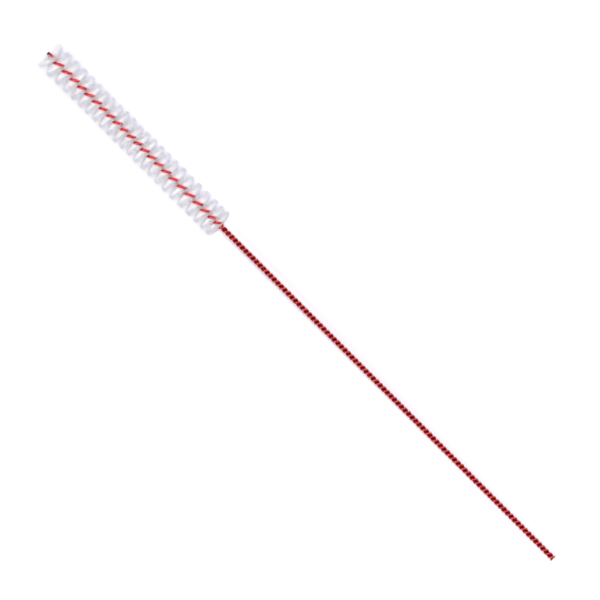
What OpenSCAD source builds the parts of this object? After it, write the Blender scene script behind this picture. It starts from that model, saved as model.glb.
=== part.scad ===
// Interdental brush: two coated steel wires, twisted together round a layer of nylon filaments.
// Millimetres. The origin is on the wire axis at the cut end of the shank,
// +X runs along the wire to the tip of the brush, and +Z is up.

/* [Wires] */
// Diameter of one wire over its coating
wire_d = 0.28; // [0.2:0.01:0.3]
// Length of the bare twisted stem, from its cut end to the first filament
stem_l = 47; // [20:0.5:60]
// Lay of the stem, which is the length in which a wire goes once round
stem_lay = 1; // [0.95:0.05:1.4]
// Length of the stem over which the lay begins to ease out to that of the head
ease_l = 1; // [0.4:0.1:2]
// Length of the head over which that ease goes on
settle_l = 3.5; // [1:0.1:5]
// Length of the stem over which the wires spread to the spacing of the head
spread_l = 0.5; // [0.4:0.1:2]
// Clearance between the two wires of the stem
wire_gap = 0.01; // [0.005:0.005:0.05]
// How far each wire springs away from the axis at the cut end of the shank
spring_h = 0.03; // [0:0.01:0.08]
// Length of the shank end that springs open
spring_l = 0.6; // [0.3:0.1:2]
// How far the wires reach past the root of the last filament
tip_l = 0.45; // [0.1:0.05:1]
// How far the wires untwist at the tip of the brush, in degrees
loose_a = 68; // [0:1:120]
// Length of the tip that untwists
loose_l = 1.2; // [0.5:0.1:2]

/* [Brush head] */
// Diameter of the brush across the tips of its filaments
brush_d = 3.1; // [1.9:0.1:6]
// Length of the head, from the root of its first filament to the root of its last
head_l = 24.05; // [15:0.05:28]
// Shortest lay of the wires in the head
head_lay = 1.92; // [1.7:0.02:2.4]
// Where the lay is shortest, as a share of the head's length from the stem
tight_share = 0.56; // [0.3:0.01:0.7]
// How much longer the lay is at the last filament than at its shortest
open_lay = 0.54; // [0.1:0.02:0.9]
// Angle of the first wire about the axis where the lay is shortest, in degrees
head_a = 64; // [0:1:180]

/* [Filaments] */
// Thickness of the filament layer that the wires grip
layer_t = 0.17; // [0.12:0.01:0.3]
// Width of the gripped layer, across the axis
layer_w = 0.4; // [0.36:0.01:0.6]
// Clearance between the layer and each wire
grip_gap = 0.01; // [0.005:0.005:0.03]
// Thickness of one strand at its tip
strand_t = 0.07; // [0.04:0.005:0.09]
// Spacing of the strands along the wire
strand_pitch = 0.1115; // [0.1:0.0005:0.16]
// Widest lean of a strand out of its spiral row, in degrees
lean_a = 28; // [5:1:35]
// How far the tip of the last strand leans past its root, towards the tip of the brush
flare = 0.35; // [0:0.05:0.6]
// Length of the head over which that lean dies away
flare_l = 1.5; // [1:0.1:4]

/* [Hidden] */
// Sides of a wire, and its rings in each turn of the stem and of the head
wire_sides = 6;
stem_rings = 9;
head_rings = 10;
// The strands lean in this order along the wire, as shares of the widest lean
lean_shares = [-0.65, 0.65, -0.3, -1, 0.3, 1];
// Groups of strands, about one for each turn of the wires in the head
groups = 12;

// Distance of each wire's centre from the axis, in the stem and in the head
stem_r = (wire_d + wire_gap) / 2;
head_r = (wire_d + layer_t) / 2;
// Half the thickness and half the width of the gripped layer
layer_h = layer_t / 2 - grip_gap;
layer_v = layer_w / 2;
tip_r = brush_d / 2;

// Places along the wire
ease_x = stem_l - ease_l;
spread_x = stem_l - spread_l;
head_x = stem_l;
settle_x = stem_l + settle_l;
tight_x = stem_l + tight_share * head_l;
last_x = stem_l + head_l;
wire_l = last_x + tip_l;
loose_x = wire_l - loose_l;

// Growth of the lay away from its shortest, as the square of the distance,
// the lay where the ease ends, and the steady growth through the ease
open_growth = sqrt(open_lay / head_lay) / (last_x - tight_x);
settle_lay = head_lay * (1 + pow(open_growth * (settle_x - tight_x), 2));
ease_growth = (settle_lay - stem_lay) / (settle_x - ease_x);

function clamp(s) = min(1, max(0, s));
function smooth(s) = s * s * (3 - 2 * s);

// Turns that the wires have made at a place, counted from the end of the shank. Those of
// the ease and the head are integrals of one over the lay, and the tip loses a few degrees.
function ease_turns(x) = ln(1 + ease_growth * (x - ease_x) / stem_lay) / ease_growth;
function open_turns(x) = atan(open_growth * (x - tight_x)) * PI / 180 / (head_lay * open_growth);
function loose_turns(x) = loose_a / 360 * pow(clamp((x - loose_x) / loose_l), 2);
function turns(x) =
    x < ease_x ? x / stem_lay
    : ease_x / stem_lay + ease_turns(min(x, settle_x))
        + (x < settle_x ? 0 : open_turns(x) - open_turns(settle_x) - loose_turns(x));

// Place in the ease that the wires reach after a number of its turns
function ease_place(turn) = ease_x + stem_lay * (exp(ease_growth * turn) - 1) / ease_growth;

// Angle of the first wire about the axis, and its distance from the axis
function angle(x) = head_a + 360 * (turns(x) - turns(tight_x));
function reach(x) =
    stem_r
    + (head_r - stem_r) * smooth(clamp((x - spread_x) / spread_l))
    + spring_h * pow(clamp(1 - x / spring_l), 2);

// Directions at a place: from the axis to the first wire, and along the layer's width.
// The twist is left-handed.
function to_wire(a) = [0, cos(a), -sin(a)];
function to_edge(a) = [0, sin(a), cos(a)];

function unit(v) = v / norm(v);
function steps(from, to, count) = [for (i = [0:count - 1]) from + (to - from) * i / count];

// Places of the rings of a wire: those of the stem, the ease and the head, and the last one
ring_xs = concat(
    steps(0, ease_x, ceil(turns(ease_x) * stem_rings)),
    [for (turn = steps(0, ease_turns(settle_x), ceil(ease_turns(settle_x) * head_rings)))
        ease_place(turn)],
    steps(settle_x, wire_l, ceil((turns(wire_l) - turns(settle_x)) * head_rings)),
    [wire_l]
);

// Centre of a wire at a place; half a turn gives the other wire
function centre(x, half) = [x, 0, 0] + reach(x) * to_wire(angle(x) + half);

// Direction that a wire runs in, from two places a small share of a lay apart
nudge_share = 0.001;
function wire_run(x, half) =
    let (nudge = nudge_share * stem_lay)
    unit(centre(x + nudge, half) - centre(x - nudge, half));

// One ring of a wire, square to its run, with a flat side to the axis.
// At the two cut ends the ring slides along the run into the plane of the cut.
function wire_ring(x, half) =
    let (
        cut = x == 0 || x == wire_l,
        run = wire_run(x, half),
        out = to_wire(angle(x) + half),
        side = unit(out - run * (run * out)),
        across = cross(run, side),
        middle = centre(x, half)
    )
    [for (j = [0:wire_sides - 1])
        let (
            a = (j + 0.5) * 360 / wire_sides,
            off = wire_d / 2 * (cos(a) * side + sin(a) * across)
        )
        middle + (cut ? off - run * off[0] / run[0] : off)];

// Corners a, b, c, d of the face of a ringed tube that starts at ring k and side j.
// They go clockwise, seen from outside.
function corner(k, j, sides) = k * sides + j % sides;
function quad(k, j, sides) = [
    corner(k, j, sides),
    corner(k + 1, j, sides),
    corner(k + 1, j + 1, sides),
    corner(k, j + 1, sides)
];
function halves(q) = [[q[0], q[1], q[2]], [q[0], q[2], q[3]]];
function other_halves(q) = [[q[1], q[2], q[3]], [q[1], q[3], q[0]]];
// The two ends are fans from a ring's second point, which lies between two others
// on the edge of the gripped layer
function start_cap(sides) = [for (j = [2:sides - 1]) [1, j, (j + 1) % sides]];
function end_cap(first, sides) =
    [for (j = [2:sides - 1]) [first + 1, first + (j + 1) % sides, first + j]];

module wire(half) {
    last = len(ring_xs) - 1;
    polyhedron(
        [for (x = ring_xs) each wire_ring(x, half)],
        concat(
            [for (k = [0:last - 1], j = [0:wire_sides - 1]) each halves(quad(k, j, wire_sides))],
            start_cap(wire_sides),
            end_cap(last * wire_sides, wire_sides)
        )
    );
}

module wire_a() {
    color("crimson") wire(0);
}

module wire_b() {
    color("firebrick") wire(180);
}

// Stations along the head, each with one straight strand that runs out on both sides
stations = round(head_l / strand_pitch);
function station_x(s) = head_x + head_l * s / stations;
function lean(s) = lean_a * lean_shares[s % len(lean_shares)];
function flare_at(x) = flare * pow(clamp(1 - (last_x - x) / flare_l), 2);

// Section of the gripped layer at a place: six points, three on each edge
layer_sides = 6;
function layer_ring(x) =
    let (u = to_wire(angle(x)), v = to_edge(angle(x)))
    [for (p = [[-1, -1], [0, -1], [1, -1], [1, 1], [0, 1], [-1, 1]])
        [x, 0, 0] + p[0] * layer_h * u + p[1] * layer_v * v];

// The face of the layer that a strand grows from. Side is 1 or -1, for the two edges.
function root_side(s, side) =
    side > 0 ? (lean(s) > 0 ? 3 : 4) : (lean(s) > 0 ? 0 : 1);

// The four corners of a strand's square tip, in the order of its root's corners
function strand_tip(s, side) =
    let (
        x = (station_x(s) + station_x(s + 1)) / 2,
        a = angle(x),
        out = cos(lean(s)) * to_edge(a) + sin(lean(s)) * to_wire(a),
        over = cos(lean(s)) * to_wire(a) - sin(lean(s)) * to_edge(a),
        middle = [x + flare_at(x), 0, 0] + side * tip_r * out,
        half = strand_t / 2
    )
    [for (p = [[-1, 1], [1, 1], [1, -1], [-1, -1]])
        middle + [p[0] * half, 0, 0] + p[1] * side * half * over];

// A slice of the layer with its strands, as one closed solid of triangles
module bristles(first, last) {
    count = last - first;
    ring_points = (count + 1) * layer_sides;
    sides = [1, -1];
    // Number of the first tip point of a strand, after the points of the rings
    function tip_point(k, e) = ring_points + (2 * k + e) * 4;
    points = concat(
        [for (k = [0:count]) each layer_ring(station_x(first + k))],
        [for (k = [0:count - 1], side = sides) each strand_tip(first + k, side)]
    );
    // The broad faces, sides 2 and 5, are split so that their middle stays clear of the wires
    layer_faces = [
        for (k = [0:count - 1], j = [0:layer_sides - 1])
            let (q = quad(k, j, layer_sides))
            if (j != root_side(first + k, 1) && j != root_side(first + k, -1))
                each (j % 3 == 2 ? other_halves(q) : halves(q))
    ];
    strand_faces = [
        for (k = [0:count - 1], e = [0, 1])
            let (
                root = quad(k, root_side(first + k, sides[e]), layer_sides),
                tip = [for (i = [0:3]) tip_point(k, e) + i]
            )
            each concat(
                halves(tip),
                [for (i = [0:3]) let (n = (i + 1) % 4)
                    each halves([root[i], root[n], tip[n], tip[i]])]
            )
    ];
    polyhedron(
        points,
        concat(
            layer_faces,
            strand_faces,
            start_cap(layer_sides),
            end_cap(count * layer_sides, layer_sides)
        )
    );
}

// Stations where the groups meet
function group_station(g) = round(stations * g / groups);

module bristle_turn(g) {
    color("ghostwhite") bristles(group_station(g - 1), group_station(g));
}

function turn_name(g) = str("bristle_turn_", g < 10 ? "0" : "", g);

wire_a();
wire_b();
for (g = [1:groups]) bristle_turn(g);
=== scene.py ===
# Interdental brush: two steel wires in a clear red lacquer, twisted together round a layer of
# nylon filaments. Everything is in metres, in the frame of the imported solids: the origin is on
# the wire axis at the cut end of the shank, +X runs to the tip and +Z is up.
import math

import bpy
import numpy as np
from mathutils import Matrix, Vector


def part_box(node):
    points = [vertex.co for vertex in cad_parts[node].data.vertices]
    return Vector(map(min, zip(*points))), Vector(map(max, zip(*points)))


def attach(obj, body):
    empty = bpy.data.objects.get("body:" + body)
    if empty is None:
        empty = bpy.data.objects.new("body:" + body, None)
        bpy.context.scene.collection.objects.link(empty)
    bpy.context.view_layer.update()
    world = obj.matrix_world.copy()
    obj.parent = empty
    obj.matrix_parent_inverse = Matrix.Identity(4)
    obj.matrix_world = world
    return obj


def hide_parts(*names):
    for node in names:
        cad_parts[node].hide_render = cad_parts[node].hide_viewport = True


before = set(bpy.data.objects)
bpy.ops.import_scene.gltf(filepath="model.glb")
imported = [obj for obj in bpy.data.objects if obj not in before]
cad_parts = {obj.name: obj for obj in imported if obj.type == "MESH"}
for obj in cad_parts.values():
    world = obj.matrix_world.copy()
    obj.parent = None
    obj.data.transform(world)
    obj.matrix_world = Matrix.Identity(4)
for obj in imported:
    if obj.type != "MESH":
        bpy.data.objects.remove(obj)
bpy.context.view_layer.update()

MM = 0.001
TURNS_OF_BRISTLES = 12

# The twist, as in the solids. A lay is the length of one full turn
wire_d = 0.28 * MM  # across one wire with its lacquer
wire_gap = 0.01 * MM  # between the two wires in the stem
layer_t = 0.17 * MM  # the gripped filaments between the two wires in the head
brush_d = 3.1 * MM  # across the tips of the filaments
stem_lay = 1.0 * MM  # the even lay of the stem
head_lay = 1.92 * MM  # the shortest lay in the head
tight_share = 0.56  # where in the head it is shortest
open_lay = 0.54 * MM  # how much longer it is at the last filament
ease_l = 1.0 * MM  # the lay starts to grow this far before the head
settle_l = 3.5 * MM  # and has settled this far into it
spread_l = 0.5 * MM  # the wires part over this length before the head
head_a = math.radians(64)  # the angle of the wires where the lay is shortest
loose_a = math.radians(68)  # how far the wires untwist at the tip
loose_l = 1.2 * MM  # over this length
spring_h = 0.03 * MM  # how far each wire springs open at the shank end
spring_l = 0.6 * MM  # over this length

# The surface of a wire
lacquer_t = 0.011 * MM
wire_sides = 24
rings_a_turn = 24
turns_table = 20000  # places at which the turns are worked out, to space the rings by them
cut_l = 0.25 * MM  # the rings tilt into the plane of the cut over this length
steel_rings = (1, 0.72, 0.4)  # rings across the bare steel of a cut, as shares of its radius
sharp_a = math.radians(50)
dark_tip_l = 0.3 * MM  # the lacquer is almost black over this much of the tip
dark_tip_scatter = 0.1 * MM
dark_tip_edge = 0.02 * MM

# Places along the wire, from the frame
wire_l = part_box("wire_a")[1].x
head_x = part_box("bristle_turn_01")[0].x
group_l = (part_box("bristle_turn_11")[1].x - head_x) / (TURNS_OF_BRISTLES - 1)
last_x = head_x + TURNS_OF_BRISTLES * group_l
tight_x = head_x + tight_share * (last_x - head_x)
ease_x = head_x - ease_l
spread_x = head_x - spread_l
settle_x = head_x + settle_l
loose_x = wire_l - loose_l
tip_r = brush_d / 2

# The filaments
filament_d = 0.056 * MM
thick_scatter = (0.92, 1.04)  # as shares of the diameter
filaments_a_group = 105
filament_sides = 6
half_places = [0, 0.14, 0.5, 0.88, 1]  # rings along a half, from the grip to the tip
end_share = 0.55  # the last ring, as a share of the others
layers = 3  # filaments that lie on each other between the wires
grip_l = 0.2 * MM  # the first handle of a half's curve
bend_share = 0.45  # the second handle, as a share of the way to the tip
bend_l = 0.06 * MM  # and moved out by this much
lean_a = math.radians(29)
lean_power = 0.5  # below 1, so that more filaments lean far than little
lean_scatter = math.radians(3)
tip_scatter = 0.012  # as a share of the reach
push_scatter = 0.04 * MM
golden_share = (math.sqrt(5) - 1) / 2
flare = 0.375 * MM  # how far the last tips lean out along the wire
flare_l = 1.5 * MM
fan_more = 0.8  # how much wider the last filaments fan
fan_l = 0.9 * MM
seed = 31

# The studio. A level of 1 lights a white surface to plain white
white = (1, 1, 1, 1)
world_level = 0.15
world_colour = (0.84, 0.86, 1.1, 1)
ceiling = (0.85, 0.85, 0.85, 1)
ceiling_a = math.radians(40)
end_walls = (0.15, 0.15, 0.15, 1)
end_walls_share = (0.35, 0.7)  # how far a direction runs along the brush where they begin
floor_half = 0.3
floor_colour = (0.8, 0.8, 0.8, 1)
floor_seen = (0.95, 0.95, 0.81, 1)
floor_lift = (0.04, 0.045, 0.2, 1)
lamp_distance = 2.0
lamps = (
    # Name, direction, width, level, colour, and whether the wires mirror it
    ("top", (0.0, -0.05, 1.0), 0.8, 0.82, (1, 1, 1), False),
    ("warm_glint", (0.1, 0.6, 1.0), 0.48, 0.14, (1.0, 0.84, 0.6), True),
    ("cool_glint", (-0.1, -1.0, 0.6), 0.48, 0.1, (1.0, 0.86, 0.95), True),
)
bounces = 24

# The picture: 600 pixels wide at ten pixels a millimetre
picture_w = 60 * MM
picture_x, picture_y = 36.185 * MM, -0.378 * MM
lens, sensor = 300.0, 36.0


# The twist of the wires


def ease(s):
    """Goes from 0 to 1 with level ends: three s squared less two s cubed, s held to 0 and 1."""
    s = np.clip(s, 0, 1)
    return s * s * (3 - 2 * s)


def turns(x):
    """Turns that the wires have made at x: the integral of one over the lay. The lay is even in
    the stem and grows steadily through the ease, which ends a little way into the head. From
    there on it is least just past the middle of the head, and grows with the square of the
    distance from that place. At the tip the wires untwist with the square of the distance."""
    opening = math.sqrt(open_lay / head_lay) / (last_x - tight_x)
    settle_lay = head_lay * (1 + (opening * (settle_x - tight_x)) ** 2)
    growth = (settle_lay - stem_lay) / (settle_x - ease_x)
    in_stem = np.minimum(x, ease_x) / stem_lay
    in_ease = np.log(1 + growth * (np.clip(x, ease_x, settle_x) - ease_x) / stem_lay) / growth
    far = np.maximum(x, settle_x)
    in_head = np.arctan(opening * (far - tight_x)) - np.arctan(opening * (settle_x - tight_x))
    untwist = loose_a / (2 * np.pi) * np.clip((x - loose_x) / loose_l, 0, 1) ** 2
    return in_stem + in_ease + in_head / (head_lay * opening) - untwist


def angle(x):
    """Angle of the first wire about the axis at x, in radians."""
    return head_a + 2 * np.pi * (turns(x) - turns(np.array(tight_x)))


def reach(x):
    """Distance of each wire's centre from the axis: half a wire in the stem, pushed apart by the
    filaments in the head, and sprung open a little at the cut shank end."""
    stem_r = (wire_d + wire_gap) / 2
    head_r = (wire_d + layer_t) / 2
    spring = spring_h * np.clip(1 - x / spring_l, 0, 1) ** 2
    return stem_r + (head_r - stem_r) * ease((x - spread_x) / spread_l) + spring


def to_wire(a):
    """Unit vectors from the axis to the first wire, for angles a. The twist is left-handed."""
    return np.stack([np.zeros_like(a), np.cos(a), -np.sin(a)], -1)


def to_edge(a):
    """Unit vectors across the axis, along the gripped middles of the filaments."""
    return np.stack([np.zeros_like(a), np.sin(a), np.cos(a)], -1)


def unit(v):
    """Vectors v divided by their length."""
    return v / np.linalg.norm(v, axis=-1, keepdims=True)


# Meshes


def make_mesh(name, points, faces):
    """A smooth mesh object from an array of points and a list of arrays of faces, one row of
    point numbers for each face, all at once."""
    mesh = bpy.data.meshes.new(name)
    mesh.vertices.add(len(points))
    mesh.vertices.foreach_set("co", points.astype(np.float32).ravel())
    corners = np.concatenate([f.ravel() for f in faces])
    sizes = np.concatenate([np.full(len(f), f.shape[1]) for f in faces])
    mesh.loops.add(len(corners))
    mesh.loops.foreach_set("vertex_index", corners.astype(np.int32))
    mesh.polygons.add(len(sizes))
    mesh.polygons.foreach_set("loop_start", (np.cumsum(sizes) - sizes).astype(np.int32))
    mesh.update(calc_edges=True)
    mesh.validate()
    mesh.polygons.foreach_set("use_smooth", np.ones(len(mesh.polygons), bool))
    piece = bpy.data.objects.new(name, mesh)
    bpy.context.scene.collection.objects.link(piece)
    return piece


def ring_angles(sides):
    """Even angles round a ring, in radians."""
    return np.arange(sides) * 2 * np.pi / sides


def circles(run, side, sides):
    """Circles of radius one, square to each run: the cosine of the angle times the side
    direction, and its sine times the direction across both."""
    across = np.cross(run, side)
    a = ring_angles(sides)
    return np.cos(a)[:, None] * side[..., None, :] + np.sin(a)[:, None] * across[..., None, :]


def tube_faces(rings, sides, first=0):
    """The quads between each ring of points and the next, facing outwards. Row k of the rings
    starts at point first + k times sides."""
    k, j = np.meshgrid(np.arange(rings - 1), np.arange(sides), indexing="ij")
    n = (j + 1) % sides
    quads = np.stack([k * sides + j, k * sides + n, (k + 1) * sides + n, (k + 1) * sides + j], -1)
    return first + quads.reshape(-1, 4)


def store(mesh, name, kind, values):
    """Keeps one value for each point of a mesh, as an attribute that a material can read."""
    slot = mesh.attributes.new(name, kind, "POINT")
    key = "value" if kind == "FLOAT" else "vector"
    slot.data.foreach_set(key, values.astype(np.float32).ravel())


# Wires


def wire_places():
    """Places of the rings along a wire: evenly spaced by turn, found by reading the turns off
    backwards from a fine table of them."""
    x = np.linspace(0, wire_l, turns_table)
    n = turns(x)
    count = int(n[-1] * rings_a_turn)
    return np.interp(np.linspace(n[0], n[-1], count), n, x)


def wire_grain(middle, a):
    """Where each point of the rings was on the straight wire, before it was twisted: across it,
    by the cosine and sine of the angle round the ring, and along it, by the length of the helix
    up to the ring."""
    steps = np.linalg.norm(np.diff(middle, axis=0), axis=-1)
    length = np.concatenate([[0], np.cumsum(steps)])
    across = (wire_d / 2 * np.cos(a), wire_d / 2 * np.sin(a))
    return np.stack(np.broadcast_arrays(*across, length[:, None]), -1)


def wire_groove(x, a):
    """Distance of each point of the rings from the surface of the other wire, from the sides of
    the triangle that the point makes with the other wire's centre."""
    across = 2 * reach(x)[:, None] + wire_d / 2 * np.cos(a)
    return np.hypot(across, wire_d / 2 * np.sin(a)) - wire_d / 2


def carried(values, first, last):
    """Values of the rings, with those of the end rings repeated for the rings across each cut,
    and one value for the centre of each cut."""
    repeats = len(steel_rings)
    rings = np.concatenate([values[:1].repeat(repeats, 0), values, values[-1:].repeat(repeats, 0)])
    return np.concatenate([first[None], rings.reshape(-1, values.shape[-1]), last[None]])


def wire(name, half):
    """One wire: a circle carried along a left-handed helix. Each ring is square to the run of
    the helix, and near the two cut ends its points slide along the run, more and more, into the
    plane of the cut. Each cut is closed by rings in that plane that shrink to a point: the rim
    of lacquer, then the bare steel. The mesh keeps each point's place on the straight wire and
    its distance from the other wire."""
    x = wire_places()
    middle = np.stack([x, 0 * x, 0 * x], -1) + reach(x)[:, None] * to_wire(angle(x) + half)
    run = unit(np.gradient(middle, axis=0))
    side = to_wire(angle(x) + half)
    side = unit(side - run * (run * side).sum(-1, keepdims=True))
    circle = circles(run, side, wire_sides)
    rings = middle[:, None] + wire_d / 2 * circle
    tilt = np.clip(1 - np.minimum(x, wire_l - x) / cut_l, 0, 1)[:, None, None]
    ahead = (rings[..., :1] - x[:, None, None]) / run[:, None, :1]
    rings = rings - tilt * ahead * run[:, None]

    def into_cut(points, k):
        """Slides points along the run of ring k until they lie in the plane of the cut."""
        return points - run[k] * ((points[..., :1] - x[k]) / run[k][0])

    def closing(k):
        """The rings of bare steel that close the wire at ring k, and their centre."""
        core = wire_d / 2 * ((1 - 2 * lacquer_t / wire_d) * np.array(steel_rings))
        disc = into_cut(middle[k] + core[:, None, None] * circle[k], k)
        return disc, into_cut(middle[k][None, None], k)

    first_disc, first_centre = closing(0)
    last_disc, last_centre = closing(-1)
    parts = (first_centre, first_disc[::-1], rings, last_disc, last_centre)
    points = np.concatenate([g.reshape(-1, 3) for g in parts])

    count = len(x) + 2 * len(steel_rings)
    j = np.arange(wire_sides)
    n = (j + 1) % wire_sides
    end = 1 + (count - 1) * wire_sides
    fan_in = np.stack([0 * j, 1 + n, 1 + j], -1)
    fan_out = np.stack([end + j, end + n, 0 * j + len(points) - 1], -1)
    walls = tube_faces(count, wire_sides, first=1)
    piece = make_mesh(name, points, [walls, fan_in, fan_out])
    mesh = piece.data
    a = ring_angles(wire_sides)
    grain = wire_grain(middle, a)
    groove = wire_groove(x, a)[..., None]
    grain = carried(grain, np.zeros(3), grain[-1, 0] * [0, 0, 1])
    store(mesh, "straight", "FLOAT_VECTOR", grain / MM)
    store(mesh, "groove", "FLOAT", carried(groove, groove[0, 0], groove[-1, 0]) / MM)

    # The bare steel is the second material: the discs inside the lacquer
    steel = np.zeros(len(mesh.polygons), np.int32)
    disc_faces = (len(steel_rings) - 1) * wire_sides
    steel[:disc_faces] = 1
    steel[len(walls) - disc_faces :] = 1
    mesh.polygons.foreach_set("material_index", steel)
    mesh.update()
    mesh.set_sharp_from_angle(angle=sharp_a)
    return piece


# Filaments


def filaments(name, low_x, high_x, rng):
    """The filaments that the wires grip from low_x to high_x. Each lies straight across the axis
    where it is gripped, in one of the layers, and bends out to a tip on the cylinder of the
    brush. Its line is a cubic curve from the grip, through two handles, to the tip, run out to
    both sides. Tips lean to either side of the row. The last ones at the tip of the brush have no
    neighbours to hold them, so they fan wider and lean out along the wire. The mesh keeps how far
    out each point is and one tone for each filament."""
    n = filaments_a_group
    x = low_x + (high_x - low_x) * (np.arange(n) + 0.5) / n
    u, v = to_wire(angle(x)), to_edge(angle(x))
    along = np.array([1.0, 0, 0])
    depth = (np.arange(n) % layers - (layers - 1) / 2) * filament_d
    # Steps of the golden share spread the leans evenly, with no pattern from one to the next
    order = np.arange(n)[:, None] + rng.random(2) * n
    spread = 2 * (order * golden_share % 1) - 1
    spread = np.sign(spread) * np.abs(spread) ** lean_power
    wider = 1 + fan_more * np.clip(1 - (last_x - x) / fan_l, 0, 1)
    near_tip = np.clip(1 - (last_x - x) / flare_l, 0, 1) ** 2

    s = np.array(half_places)[:, None, None]
    halves = []
    for way in (1, -1):
        share = spread[:, (way + 1) // 2]
        lean = lean_a * wider * share + lean_scatter * rng.standard_normal(n)
        tip = tip_r * (1 - tip_scatter * rng.random(n))
        push = flare * near_tip * (1 + share**2) / 2 + push_scatter * rng.standard_normal(n)
        start = depth[:, None] * u
        grip = start + way * grip_l * v
        out = way * (np.cos(lean)[:, None] * v + np.sin(lean)[:, None] * u)
        end = tip[:, None] * out + push[:, None] * along
        bend = grip + (end - grip) * bend_share + way * bend_l * v
        near_grip = (1 - s) ** 3 * start + 3 * s * (1 - s) ** 2 * grip
        halves.append(near_grip + 3 * s**2 * (1 - s) * bend + s**3 * end)
    # From one tip to the other, through the grip
    line = np.concatenate([halves[1][:0:-1], halves[0]]).transpose(1, 0, 2)
    line = line + x[:, None, None] * along
    rings = line.shape[1]
    run = unit(np.gradient(line, axis=1))
    side = unit(np.cross(run, along + 0 * run))
    # Rounded tips: the last ring at each end is smaller
    thick = np.ones(rings)
    thick[[0, -1]] = end_share
    radius = filament_d / 2 * rng.uniform(*thick_scatter, n)[:, None, None, None]
    tube = line[:, :, None] + radius * thick[:, None, None] * circles(run, side, filament_sides)

    first = np.arange(n)[:, None, None] * rings * filament_sides
    walls = (tube_faces(rings, filament_sides)[None] + first).reshape(-1, 4)
    j = np.arange(filament_sides)
    near = (j[::-1][None, None] + first).reshape(-1, filament_sides)
    far = ((rings - 1) * filament_sides + j[None, None] + first).reshape(-1, filament_sides)
    piece = make_mesh(name, tube.reshape(-1, 3), [walls, near, far])
    out_share = np.concatenate([half_places[:0:-1], half_places])
    tone = rng.random(n)
    every_point = tube.shape[:3]
    store(piece.data, "out", "FLOAT", np.broadcast_to(out_share[None, :, None], every_point))
    store(piece.data, "tone", "FLOAT", np.broadcast_to(tone[:, None, None], every_point))
    return piece


# Shader nodes


def add(tree, kind, **values):
    """One node. Names in capitals with spaces as underscores are its inputs, the rest its
    settings. An input is given a value, or another node's output."""
    node = tree.nodes.new(kind)
    for key, value in values.items():
        if key[0].isupper():
            feed(tree, value, node.inputs[key.replace("_", " ")])
        else:
            setattr(node, key, value)
    return node


def feed(tree, given, socket):
    """Gives an input a value, or links another node's output to it."""
    if isinstance(given, bpy.types.NodeSocket):
        tree.links.new(given, socket)
    else:
        socket.default_value = given


def attribute(tree, name, output="Fac"):
    """A value that the mesh keeps for each of its points."""
    return add(tree, "ShaderNodeAttribute", attribute_name=name).outputs[output]


def along_x(tree, place):
    """How far a place or a direction lies along the wire."""
    return add(tree, "ShaderNodeSeparateXYZ", Vector=place).outputs["X"]


def worked(tree, operation, *given):
    """The result of one sum on numbers and outputs."""
    node = add(tree, "ShaderNodeMath", operation=operation)
    for value, socket in zip(given, node.inputs):
        feed(tree, value, socket)
    return node.outputs[0]


def ranged(tree, value, from_range=(0, 1), to_range=(0, 1), curve="LINEAR"):
    """A number moved from one range into another, and held there."""
    node = add(
        tree,
        "ShaderNodeMapRange",
        interpolation_type=curve,
        Value=value,
        From_Min=from_range[0],
        From_Max=from_range[1],
        To_Min=to_range[0],
        To_Max=to_range[1],
    )
    return node.outputs["Result"]


def ramp(tree, share, *steps):
    """A colour that changes with a share from 0 to 1. Each step is a place and its colour."""
    node = add(tree, "ShaderNodeValToRGB", Fac=share)
    elements = node.color_ramp.elements
    elements.remove(elements[1])
    elements[0].position = steps[0][0]
    elements[0].color = (*steps[0][1], 1)
    for place, colour in steps[1:]:
        elements.new(place).color = (*colour, 1)
    return node.outputs["Color"]


def mixed(tree, share, first, second, blend="MIX"):
    """A colour between two others, or their product, by a share from 0 to 1."""
    node = add(tree, "ShaderNodeMix", data_type="RGBA", blend_type=blend)
    colours = [i for i in node.inputs if i.type == "RGBA"]
    feed(tree, share, node.inputs[0])
    feed(tree, first, colours[0])
    feed(tree, second, colours[1])
    return [o for o in node.outputs if o.type == "RGBA"][0]


def finish(tree, shader, kind="ShaderNodeOutputMaterial"):
    """The shader that the surface shows."""
    add(tree, kind, Surface=shader.outputs[0])


def tree_of(name):
    """A new material with an empty node tree."""
    material = bpy.data.materials.new(name)
    material.use_nodes = True
    material.node_tree.nodes.clear()
    return material, material.node_tree


def fine_lines():
    """The group for fine lines, as a drawing die or a cutter leaves them: noise, stretched along
    the lines, as a share from 0 to 1, and the normal of a surface that rises with that share."""
    group = bpy.data.node_groups.new("fine lines", "ShaderNodeTree")
    sockets = (
        ("Place", "INPUT", "NodeSocketVector"),
        ("Stretch", "INPUT", "NodeSocketVector"),
        ("Scale", "INPUT", "NodeSocketFloat"),
        ("Detail", "INPUT", "NodeSocketFloat"),
        ("Roughness", "INPUT", "NodeSocketFloat"),
        ("Strength", "INPUT", "NodeSocketFloat"),
        ("Depth", "INPUT", "NodeSocketFloat"),
        ("Share", "OUTPUT", "NodeSocketFloat"),
        ("Normal", "OUTPUT", "NodeSocketVector"),
    )
    for name, way, kind in sockets:
        group.interface.new_socket(name, in_out=way, socket_type=kind)
    given = add(group, "NodeGroupInput").outputs
    stretched = add(group, "ShaderNodeMapping", Vector=given["Place"], Scale=given["Stretch"])
    noise = add(
        group,
        "ShaderNodeTexNoise",
        Vector=stretched.outputs["Vector"],
        Scale=given["Scale"],
        Detail=given["Detail"],
        Roughness=given["Roughness"],
    )
    share = noise.outputs["Fac"]
    bump = add(
        group,
        "ShaderNodeBump",
        Strength=given["Strength"],
        Distance=given["Depth"],
        Height=share,
    )
    add(group, "NodeGroupOutput", Share=share, Normal=bump.outputs["Normal"])
    return group


# Finishes


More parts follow.
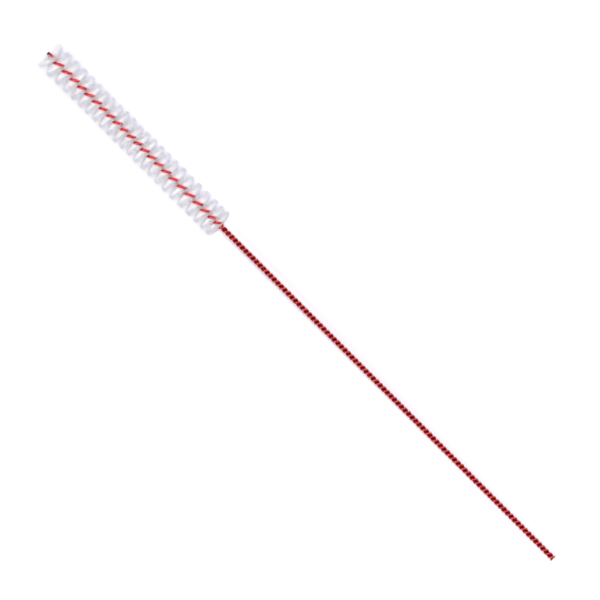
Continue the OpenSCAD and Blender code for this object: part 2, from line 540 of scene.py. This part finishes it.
def lacquered_wire(lines_group):
    """Clear red lacquer over bright drawn steel. The red varies in clouds. Painted shade makes it
    darker in the groove between the wires, and it is almost black over the last of the tip, along
    a ragged edge. The die lines run along the wire."""
    material, tree = tree_of("red lacquer on steel")
    place = attribute(tree, "straight", "Vector")
    lines = add(
        tree,
        "ShaderNodeGroup",
        node_tree=lines_group,
        Place=place,
        Stretch=(1, 1, 0.03),
        Scale=60.0,
        Detail=2.0,
        Roughness=0.6,
        Strength=0.15,
        Depth=0.003 * MM,
    )
    noise = add(tree, "ShaderNodeTexNoise", Vector=place, Scale=1.6, Detail=3.0, Roughness=0.55)
    cloud = noise.outputs["Fac"]
    red = ramp(tree, cloud, (0.3, (0.72, 0.06, 0.06)), (0.72, (0.97, 0.15, 0.15)))
    groove = attribute(tree, "groove")
    # Painted shade: the lacquer is darkened towards the other wire, in the groove between the two
    painted_groove_shade = ramp(tree, groove, (0.05, (0.35, 0.2, 0.2)), (0.36, (1.0, 1.0, 1.0)))
    lacquer_and_painted_shade = mixed(tree, 1, red, painted_groove_shade, "MULTIPLY")
    x = along_x(tree, add(tree, "ShaderNodeTexCoord").outputs["Object"])
    ragged = worked(tree, "MULTIPLY_ADD", cloud, dark_tip_scatter, x)
    edge = wire_l - dark_tip_l + dark_tip_scatter / 2
    dark_tip = ranged(tree, ragged, (edge - dark_tip_edge, edge + dark_tip_edge))
    shader = add(
        tree,
        "ShaderNodeBsdfPrincipled",
        Base_Color=mixed(tree, dark_tip, lacquer_and_painted_shade, (0.13, 0.04, 0.055, 1)),
        Metallic=1.0,
        Roughness=ranged(tree, lines.outputs["Share"], to_range=(0.12, 0.3)),
        Specular_Tint=(0.05, 0.0, 0.0, 1),
        Coat_Weight=0.15,
        Coat_Roughness=0.1,
        Normal=lines.outputs["Normal"],
    )
    finish(tree, shader)
    return material


def cut_steel(lines_group):
    """The bare steel of a cut end, torn in fine lines by the cutter."""
    material, tree = tree_of("cut steel")
    lines = add(
        tree,
        "ShaderNodeGroup",
        node_tree=lines_group,
        Place=add(tree, "ShaderNodeTexCoord").outputs["Object"],
        Stretch=(1 / MM, 1 / MM, 0.15 / MM),
        Scale=30.0,
        Detail=3.0,
        Roughness=0.65,
        Strength=0.5,
        Depth=0.005 * MM,
    )
    share = lines.outputs["Share"]
    grey = ramp(tree, share, (0.35, (0.16, 0.15, 0.16)), (0.65, (0.55, 0.55, 0.57)))
    shader = add(
        tree,
        "ShaderNodeBsdfPrincipled",
        Base_Color=grey,
        Metallic=0.95,
        Roughness=0.4,
        Normal=lines.outputs["Normal"],
    )
    finish(tree, shader)
    return material


def clear_nylon():
    """Clear nylon as its mass looks: an opaque, pale, half matt plastic. A pink near the grip is
    painted for red light thrown on it by the lacquer; it is nearly white along its length, and
    painted shade makes its tips darker and bluish. Each filament is a little bluer or whiter than
    the next."""
    material, tree = tree_of("clear nylon")
    nylon_colour_and_painted_light = (
        # Painted reflection: pink near the grip, for red light thrown by the lacquer
        (0.0, (1.0, 0.45, 0.5)),
        (0.2, (1.0, 0.8, 0.85)),
        (0.4, (0.96, 0.975, 0.975)),
        (0.75, (0.96, 0.98, 0.975)),
        # Painted shade: darker and bluish towards the tips
        (0.9, (0.88, 0.9, 0.95)),
        (1.0, (0.7, 0.72, 0.85)),
    )
    length = ramp(tree, attribute(tree, "out"), *nylon_colour_and_painted_light)
    cast = ramp(tree, attribute(tree, "tone"), (0.0, (0.97, 0.97, 0.99)), (1.0, (1.0, 1.0, 1.0)))
    shader = add(
        tree,
        "ShaderNodeBsdfPrincipled",
        Base_Color=mixed(tree, 1, length, cast, "MULTIPLY"),
        Roughness=0.5,
        IOR=1.53,
        Specular_IOR_Level=0.1,
    )
    finish(tree, shader)
    return material


# Studio


def light_paths(tree):
    """One for rays from the camera and for those that are mirrored or pass through something
    clear, and, apart from it, one for the mirrored rays alone."""
    path = add(tree, "ShaderNodeLightPath").outputs
    seen = worked(tree, "MAXIMUM", path["Is Camera Ray"], path["Is Glossy Ray"])
    return worked(tree, "MAXIMUM", seen, path["Is Transmission Ray"]), path["Is Glossy Ray"]


def white_floor():
    """A plain white floor. What is seen directly is lifted to white, and the object's shadow
    stays, a little bluish."""
    material, tree = tree_of("white floor")
    matt = add(tree, "ShaderNodeBsdfDiffuse", Color=floor_colour)
    seen = add(tree, "ShaderNodeBsdfDiffuse", Color=floor_seen)
    lift = add(tree, "ShaderNodeEmission", Color=floor_lift, Strength=1.0)
    lifted = add(tree, "ShaderNodeAddShader")
    feed(tree, seen.outputs[0], lifted.inputs[0])
    feed(tree, lift.outputs[0], lifted.inputs[1])
    pick = add(tree, "ShaderNodeMixShader", Fac=light_paths(tree)[0])
    feed(tree, matt.outputs[0], pick.inputs[1])
    feed(tree, lifted.outputs[0], pick.inputs[2])
    finish(tree, pick)
    return material


def floor():
    """The plane that the brush lies on: it touches the shank end and the first turn of
    bristles, so it falls away a little towards the tip."""
    shank_r = reach(np.array(0.0)) + wire_d / 2
    fall = (tip_r - shank_r) / head_x
    x = floor_half * np.array([-1, 1, 1, -1])
    y = floor_half * np.array([-1, -1, 1, 1])
    points = np.stack([x, y, -shank_r - fall * x], -1)
    piece = make_mesh("floor", points, [np.arange(4)[None]])
    piece.data.materials.append(white_floor())


def softbox(name, direction, width, level, colour, mirrored):
    """A square lamp that faces the brush from a direction. Its power is its level times pi
    squared times its distance squared, which lights a facing surface to that share of plain
    white."""
    lamp = bpy.data.lights.new(name, "AREA")
    lamp.shape = "SQUARE"
    lamp.size = width
    lamp.color = colour
    lamp.energy = level * math.pi**2 * lamp_distance**2
    piece = bpy.data.objects.new(name, lamp)
    piece.visible_glossy = mirrored
    bpy.context.scene.collection.objects.link(piece)
    aim = Vector(direction).normalized()
    piece.location = Vector((wire_l / 2, 0, 0)) + aim * lamp_distance
    piece.rotation_euler = aim.to_track_quat("Z", "Y").to_euler()


def white_world():
    """Even white light from all round, and plain white behind everything. Mirrored rays see a
    room instead, with a dimmer ceiling straight overhead and dark walls beyond the two ends of
    the brush. Each direction is a vector of length one, so its parts tell how far it runs up or
    along the brush."""
    world = bpy.data.worlds.new("studio")
    bpy.context.scene.world = world
    world.use_nodes = True
    tree = world.node_tree
    tree.nodes.clear()
    seen, mirrored = light_paths(tree)
    way = add(tree, "ShaderNodeTexCoord").outputs["Generated"]
    up = add(tree, "ShaderNodeSeparateXYZ", Vector=way).outputs["Z"]
    overhead = (math.cos(ceiling_a), math.cos(ceiling_a / 2))
    room = mixed(tree, ranged(tree, up, overhead, curve="SMOOTHSTEP"), white, ceiling)
    sideways = worked(tree, "ABSOLUTE", along_x(tree, way))
    to_ends = ranged(tree, sideways, end_walls_share, curve="SMOOTHSTEP")
    room = mixed(tree, to_ends, room, end_walls)
    light = add(tree, "ShaderNodeBackground", Color=world_colour, Strength=world_level)
    backdrop = add(
        tree, "ShaderNodeBackground", Color=mixed(tree, mirrored, white, room), Strength=1.0
    )
    pick = add(tree, "ShaderNodeMixShader", Fac=seen)
    feed(tree, light.outputs[0], pick.inputs[1])
    feed(tree, backdrop.outputs[0], pick.inputs[2])
    finish(tree, pick, "ShaderNodeOutputWorld")


def camera():
    """Straight down on the brush, which runs from the picture's upper left to its lower right.
    Its distance is the picture's width times the lens over the sensor."""
    eye = bpy.data.cameras.new("camera")
    eye.lens, eye.sensor_width = lens, sensor
    eye.clip_start, eye.clip_end = 0.01, 10
    piece = bpy.data.objects.new("camera", eye)
    bpy.context.scene.collection.objects.link(piece)
    half = math.sqrt(0.5)
    turn = Matrix(((-half, half, 0), (-half, -half, 0), (0, 0, 1))).to_4x4()
    distance = picture_w * lens / sensor
    piece.matrix_world = Matrix.Translation((picture_x, picture_y, distance)) @ turn
    bpy.context.scene.camera = piece


# The brush


def dress(piece, node, slot, *finishes):
    """Gives a piece its finishes, puts it on the body and hides the node's imported part."""
    for material in finishes:
        piece.data.materials.append(material)
    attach(piece, "root")
    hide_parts(node)


def brush():
    """Both wires, half a turn apart, and the filaments, one group after the other."""
    lines_group = fine_lines()
    lacquer_and_painted_shade, steel, nylon = lacquered_wire(lines_group), cut_steel(lines_group), clear_nylon()
    for letter, half in (("a", 0.0), ("b", np.pi)):
        piece = wire(f"lacquered_wire_{letter}", half)
        dress(piece, f"wire_{letter}", "coated_wire", lacquer_and_painted_shade, steel)
    rng = np.random.default_rng(seed)
    for g in range(TURNS_OF_BRISTLES):
        low_x = head_x + g * group_l
        high_x = head_x + (g + 1) * group_l
        piece = filaments(f"filaments_{g + 1:02d}", low_x, high_x, rng)
        dress(piece, f"bristle_turn_{g + 1:02d}", "filament", nylon)


brush()
floor()
white_world()
for lamp in lamps:
    softbox(*lamp)
camera()
bpy.context.scene.view_settings.view_transform = "Standard"
# Light bounces between many filaments before it leaves the head
rays = bpy.context.scene.cycles
rays.max_bounces = bounces
rays.diffuse_bounces = bounces
rays.transmission_bounces = bounces
rays.transparent_max_bounces = bounces
